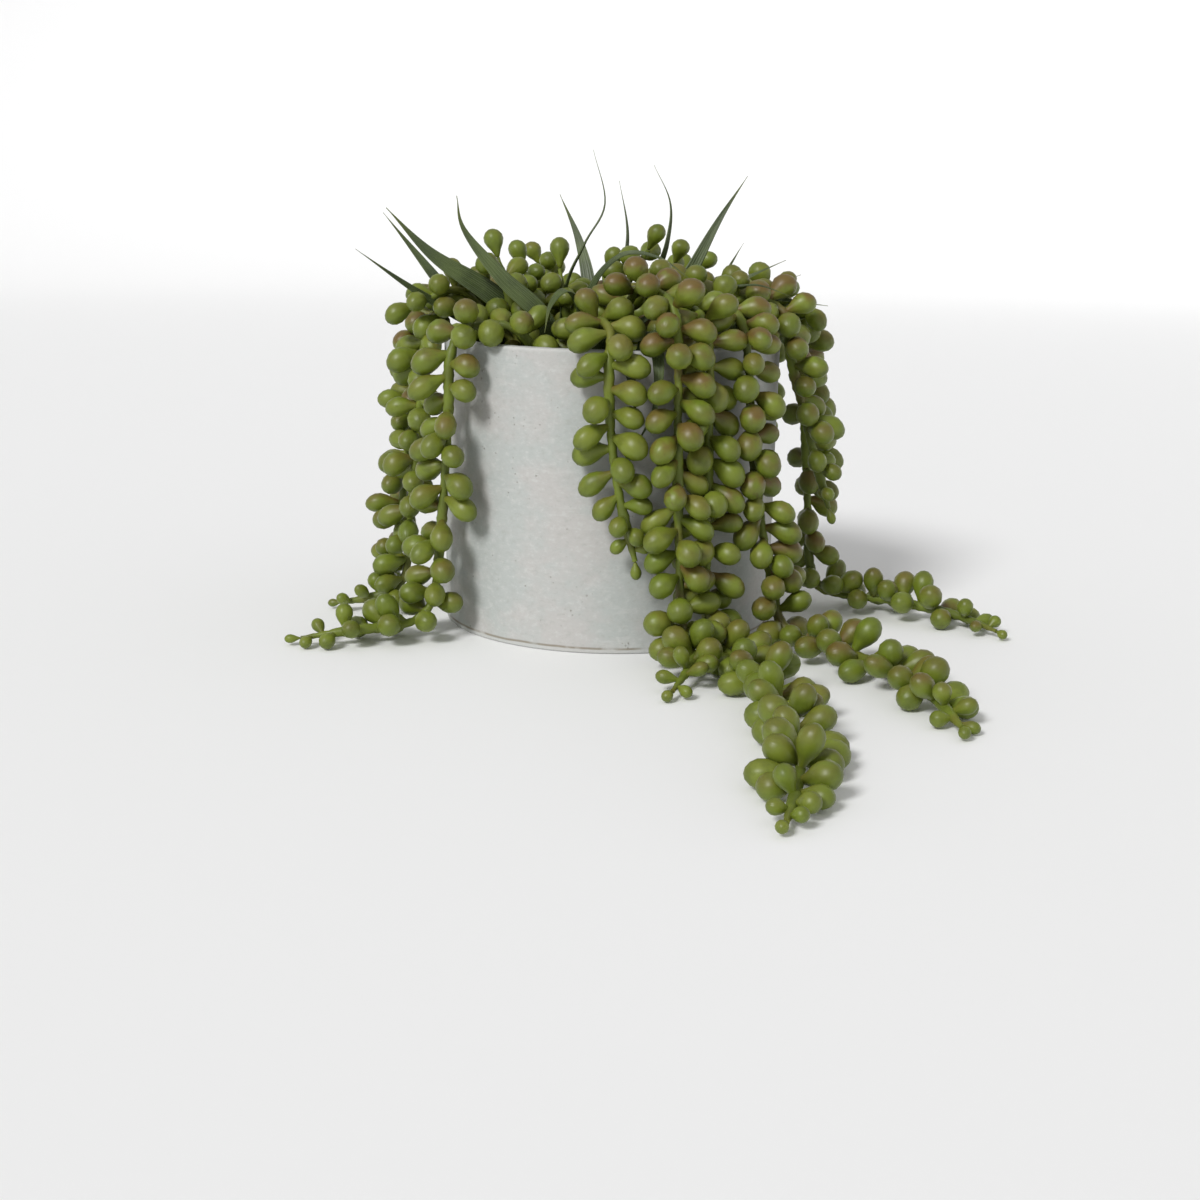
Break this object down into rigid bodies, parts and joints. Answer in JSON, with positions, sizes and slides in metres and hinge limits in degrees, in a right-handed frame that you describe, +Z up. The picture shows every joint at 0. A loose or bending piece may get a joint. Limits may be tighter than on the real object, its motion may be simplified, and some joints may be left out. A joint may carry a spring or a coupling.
{
  "type": "potted string of pearls",
  "caption": "Trailing succulent with pear-shaped leaves on long stems and blades of grass among them, spilling over the rim of a plain straight cement pot.",
  "frame": {"origin": "middle of the pot's underside, on the surface that the pot stands on", "axes": "+Z up along the pot's axis, the front with the longest strand faces -Y, +X to the right seen from the front"},
  "size_m": [0.2857, 0.3772, 0.1931],
  "materials": {
    "pot": "matte",
    "soil": "matte",
    "string_of_pearls": "satin",
    "grass": "satin"
  },
  "bodies": {
    "root": {"blade_arch": "grass", "blade_arch_thin": "grass", "blade_centre_tall": "grass", "blade_folded": "grass", "blade_front_short": "grass", "blade_left_broad": "grass", "blade_left_curved": "grass", "blade_left_low": "grass", "blade_left_tall": "grass", "blade_over_rim_left": "grass", "blade_over_rim_rear": "grass", "blade_over_rim_right": "grass", "blade_rear_left_low": "grass", "blade_rear_left_tall": "grass", "blade_rear_right": "grass", "blade_rear_right_low": "grass", "blade_rear_tall": "grass", "blade_right_level": "grass", "blade_right_low": "grass", "blade_right_short": "grass", "blade_right_tall": "grass", "blade_thin_tall": "grass", "pot": "pot", "soil": "soil", "sprig_centre": "string_of_pearls", "sprig_centre_right": "string_of_pearls", "sprig_far_left": "string_of_pearls", "sprig_far_right": "string_of_pearls", "sprig_front": "string_of_pearls", "sprig_left": "string_of_pearls", "sprig_middle": "string_of_pearls", "sprig_middle_left": "string_of_pearls", "sprig_middle_right": "string_of_pearls", "sprig_rear_left": "string_of_pearls", "sprig_rear_right": "string_of_pearls", "sprig_right": "string_of_pearls", "strand_front": "string_of_pearls", "strand_front_left": "string_of_pearls", "strand_front_left_lying": "string_of_pearls", "strand_front_right": "string_of_pearls", "strand_front_right_lying": "string_of_pearls", "strand_left": "string_of_pearls", "strand_left_lying": "string_of_pearls", "strand_left_rear": "string_of_pearls", "strand_longest": "string_of_pearls", "strand_longest_lying": "string_of_pearls", "strand_rear_1": "string_of_pearls", "strand_rear_2": "string_of_pearls", "strand_rear_2_lying": "string_of_pearls", "strand_rear_3": "string_of_pearls", "strand_rear_left": "string_of_pearls", "strand_rear_right": "string_of_pearls", "strand_right": "string_of_pearls", "strand_right_lying": "string_of_pearls", "strand_right_rear": "string_of_pearls", "strand_right_rear_lying": "string_of_pearls", "strand_right_short": "string_of_pearls"}
  },
  "joints": []
}
